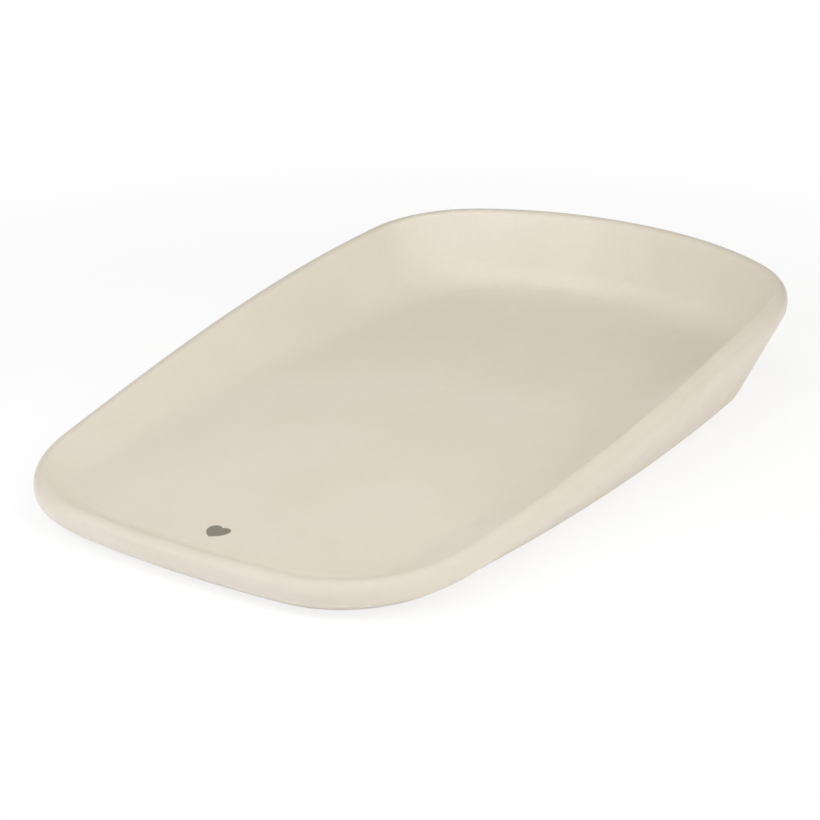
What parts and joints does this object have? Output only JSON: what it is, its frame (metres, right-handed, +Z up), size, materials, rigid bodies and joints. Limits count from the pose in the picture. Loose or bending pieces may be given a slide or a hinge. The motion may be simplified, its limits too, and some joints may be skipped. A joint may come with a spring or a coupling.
{
  "type": "foam changing mat",
  "caption": "Moulded soft foam basin for changing a baby, with a rim that climbs from a low foot end to a high head end.",
  "frame": {"origin": "middle of the footprint, on the plane of the grip pads' undersides", "axes": "+Y towards the high head end, +Z up, +X to the right of a person standing at the foot end"},
  "size_m": [0.4518, 0.7, 0.1019],
  "materials": {
    "skin": "soft-touch polyurethane skin, warm sand",
    "foam": "fine-celled polyurethane foam",
    "grip": "matt non-slip rubber"
  },
  "bodies": {
    "root": {"basin_skin": "skin", "underside_skin": "skin", "foam_core": "foam", "grip_pad_head_left": "grip", "grip_pad_head_right": "grip", "grip_pad_middle_left": "grip", "grip_pad_middle_right": "grip", "grip_pad_foot_left": "grip", "grip_pad_foot_right": "grip"}
  },
  "joints": []
}
